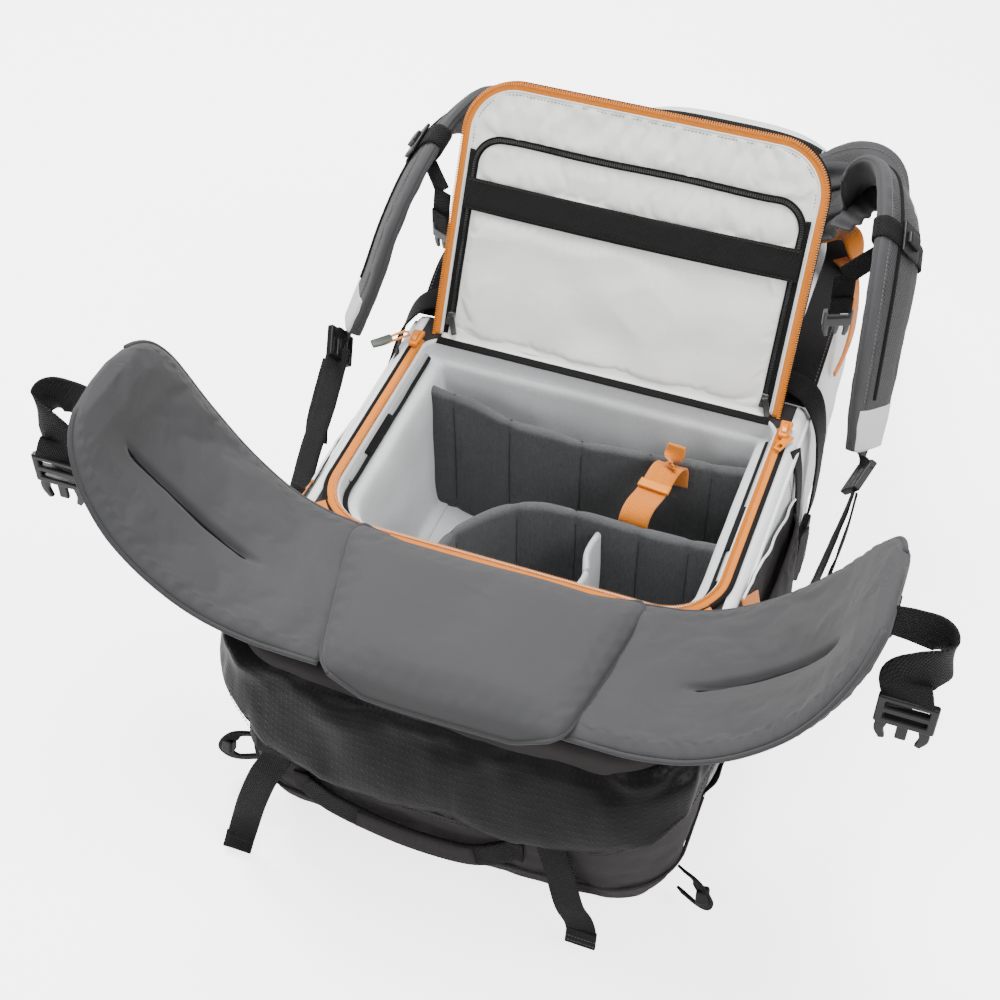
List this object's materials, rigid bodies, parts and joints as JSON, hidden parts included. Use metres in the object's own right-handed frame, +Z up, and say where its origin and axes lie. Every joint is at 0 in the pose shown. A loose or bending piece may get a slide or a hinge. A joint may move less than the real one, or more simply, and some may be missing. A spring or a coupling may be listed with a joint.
{
  "type": "camera backpack",
  "caption": "Hiking camera pack lying on its front with the back-access flap open, padded camera box, hip wings and shoulder straps.",
  "frame": {"origin": "on the resting plane under the middle of the camera compartment, on the front face that the pack lies on", "axes": "+Z up from the front face to the harness face, +Y toward the head end, +X to the right seen from the foot end"},
  "size_m": [0.7062, 0.9218, 0.454],
  "materials": {
    "light_shell": "coated light grey pack cloth",
    "rim_fabric": "light grey pack cloth",
    "charcoal_nylon": "charcoal plain-weave nylon",
    "coated_black": "semi-gloss coated black cloth",
    "black_zip": "black zip tape and coil",
    "frame_alloy": "satin grey tube",
    "box_lining": "brushed light grey lining",
    "divider_felt": "heathered dark grey loop cloth",
    "divider_silver": "silver-grey folded padding",
    "orange_webbing": "orange webbing",
    "orange_zip": "orange zip tape and teeth",
    "orange_metal": "orange enamel",
    "black_metal": "glossy black enamel",
    "pull_cord": "orange cord with a grey-green tab",
    "flap_shell": "charcoal air mesh",
    "pad_grey": "smooth mid-grey stretch weave over foam",
    "strap_grey": "smooth grey cloth over foam",
    "satin_lining": "off-white satin lining",
    "black_webbing": "black twill webbing",
    "stretch_charcoal": "charcoal stretch woven",
    "black_plastic": "moulded black plastic"
  },
  "bodies": {
    "pack": {"base_compartment": "charcoal_nylon", "base_cover": "coated_black", "base_strap_left": "black_webbing", "base_strap_right": "black_webbing", "body_zip": "orange_zip", "camera_box": "box_lining", "compression_buckle_left": "black_plastic", "compression_buckle_right": "black_plastic", "compression_strap_left": "black_webbing", "compression_strap_right": "black_webbing", "divider_front": "divider_felt", "divider_rear": "divider_felt", "divider_small": "divider_silver", "divider_strap": "orange_webbing", "edge_bands": "black_webbing", "frame_rail_left": "frame_alloy", "frame_rail_right": "frame_alloy", "front_panel": "light_shell", "gear_loops": "black_webbing", "harness_panel": "rim_fabric", "lid_zip": "black_zip", "lumbar_pad": "pad_grey", "side_panel_left": "light_shell", "side_panel_right": "light_shell", "side_pocket_left": "stretch_charcoal", "side_pocket_right": "stretch_charcoal", "strap_anchors": "orange_webbing", "upper_shell": "light_shell", "yoke": "strap_grey"},
    "flap": {"flap_panel": "flap_shell", "flap_lining": "satin_lining", "flap_zip": "orange_zip", "flap_pocket_zip": "black_zip", "flap_webbing": "black_webbing", "flap_back_pads": "pad_grey"},
    "pocket_slider": {"pocket_zip_slider": "black_metal"},
    "zip_left": {"zip_slider_left": "orange_metal"},
    "zip_right": {"zip_slider_right": "orange_metal"},
    "pull_left": {"zip_pull_left": "pull_cord"},
    "wing_left": {"hip_wing_left": "pad_grey", "hip_webbing_left": "black_webbing"},
    "wing_right": {"hip_wing_right": "pad_grey", "hip_webbing_right": "black_webbing"},
    "waist_buckle_left": {"hip_buckle_left": "black_plastic"},
    "waist_buckle_right": {"hip_buckle_right": "black_plastic"},
    "strap_left": {"shoulder_strap_left": "strap_grey", "strap_adjuster_left": "black_plastic"},
    "strap_right": {"shoulder_strap_right": "strap_grey", "strap_adjuster_right": "black_plastic"},
    "lower_web_left": {"lower_webbing_left": "black_webbing"},
    "lower_web_right": {"lower_webbing_right": "black_webbing"},
    "sternum_left": {"sternum_slider_left": "black_plastic"},
    "sternum_right": {"sternum_slider_right": "black_plastic"},
    "chest_buckle_left": {"sternum_buckle_left": "black_plastic"},
    "chest_buckle_right": {"sternum_buckle_right": "black_plastic"},
    "handle": {"carry_handle": "black_webbing"},
    "lid": {"lid": "light_shell"}
  },
  "joints": [
    {"name": "flap_hinge", "type": "hinge", "parent": "pack", "child": "flap", "pos_m": [0, 0.095, 0.24], "axis": [1, 0, 0], "range_deg": [-2, 116]},
    {"name": "pocket_slider_slide", "type": "slide", "parent": "flap", "child": "pocket_slider", "axis": [0, 0.4384, 0.8988], "range_m": [0, 0.09]},
    {"name": "zip_left_slide", "type": "slide", "parent": "pack", "child": "zip_left", "axis": [0, -1, 0], "range_m": [0, 0.17]},
    {"name": "zip_right_slide", "type": "slide", "parent": "pack", "child": "zip_right", "axis": [0, -1, 0], "range_m": [0, 0.17]},
    {"name": "pull_left_hinge", "type": "hinge", "parent": "zip_left", "child": "pull_left", "pos_m": [-0.18, 0.085, 0.246], "axis": [0, 0, 1], "range_deg": [-15, 7]},
    {"name": "wing_left_hinge", "type": "hinge", "parent": "pack", "child": "wing_left", "pos_m": [-0.118, -0.222, 0.247], "axis": [-0.162, 0.9868, 0], "range_deg": [-6, 20]},
    {"name": "wing_right_hinge", "type": "hinge", "parent": "pack", "child": "wing_right", "pos_m": [0.118, -0.222, 0.247], "axis": [-0.162, -0.9868, 0], "range_deg": [-6, 20]},
    {"name": "waist_buckle_left_hinge", "type": "hinge", "parent": "wing_left", "child": "waist_buckle_left", "pos_m": [-0.329, -0.252, 0.3375], "axis": [1, 0, 0], "range_deg": [-30, 30]},
    {"name": "waist_buckle_right_hinge", "type": "hinge", "parent": "wing_right", "child": "waist_buckle_right", "pos_m": [0.329, -0.252, 0.3375], "axis": [1, 0, 0], "range_deg": [-30, 30]},
    {"name": "strap_left_hinge", "type": "hinge", "parent": "pack", "child": "strap_left", "pos_m": [-0.088, 0.332, 0.286], "axis": [-1, 0, 0], "range_deg": [-4, 6]},
    {"name": "strap_right_hinge", "type": "hinge", "parent": "pack", "child": "strap_right", "pos_m": [0.088, 0.332, 0.286], "axis": [-1, 0, 0], "range_deg": [-4, 6]},
    {"name": "lower_web_left_hinge", "type": "hinge", "parent": "strap_left", "child": "lower_web_left", "pos_m": [-0.242, 0.052, 0.217], "axis": [-1, 0, 0], "range_deg": [-14.74, 9.83]},
    {"name": "lower_web_right_hinge", "type": "hinge", "parent": "strap_right", "child": "lower_web_right", "pos_m": [0.242, 0.052, 0.217], "axis": [-1, 0, 0], "range_deg": [-14.74, 9.83]},
    {"name": "sternum_left_slide", "type": "slide", "parent": "strap_left", "child": "sternum_left", "axis": [-0.1479, -0.9245, -0.3513], "range_m": [-0.01, 0.01]},
    {"name": "sternum_right_slide", "type": "slide", "parent": "strap_right", "child": "sternum_right", "axis": [0.1595, -0.9214, -0.3544], "range_m": [-0.01, 0.01]},
    {"name": "chest_buckle_left_hinge", "type": "hinge", "parent": "sternum_left", "child": "chest_buckle_left", "pos_m": [-0.178, 0.168, 0.352], "axis": [1, 0, 0], "range_deg": [-20, 20]},
    {"name": "chest_buckle_right_hinge", "type": "hinge", "parent": "sternum_right", "child": "chest_buckle_right", "pos_m": [0.19, 0.176, 0.352], "axis": [1, 0, 0], "range_deg": [-20, 20]},
    {"name": "handle_hinge", "type": "hinge", "parent": "pack", "child": "handle", "pos_m": [-0.025, -0.3015, 0.1055], "axis": [-1, 0, 0], "range_deg": [0, 70]},
    {"name": "lid_hinge", "type": "hinge", "parent": "pack", "child": "lid", "pos_m": [0, 0.5312, 0.006], "axis": [-1, 0, 0], "range_deg": [0, 35]}
  ],
  "couplings": [
    {"joint": "lower_web_left_hinge", "follows": "strap_left_hinge", "ratio": -2.457},
    {"joint": "lower_web_right_hinge", "follows": "strap_right_hinge", "ratio": -2.457}
  ]
}
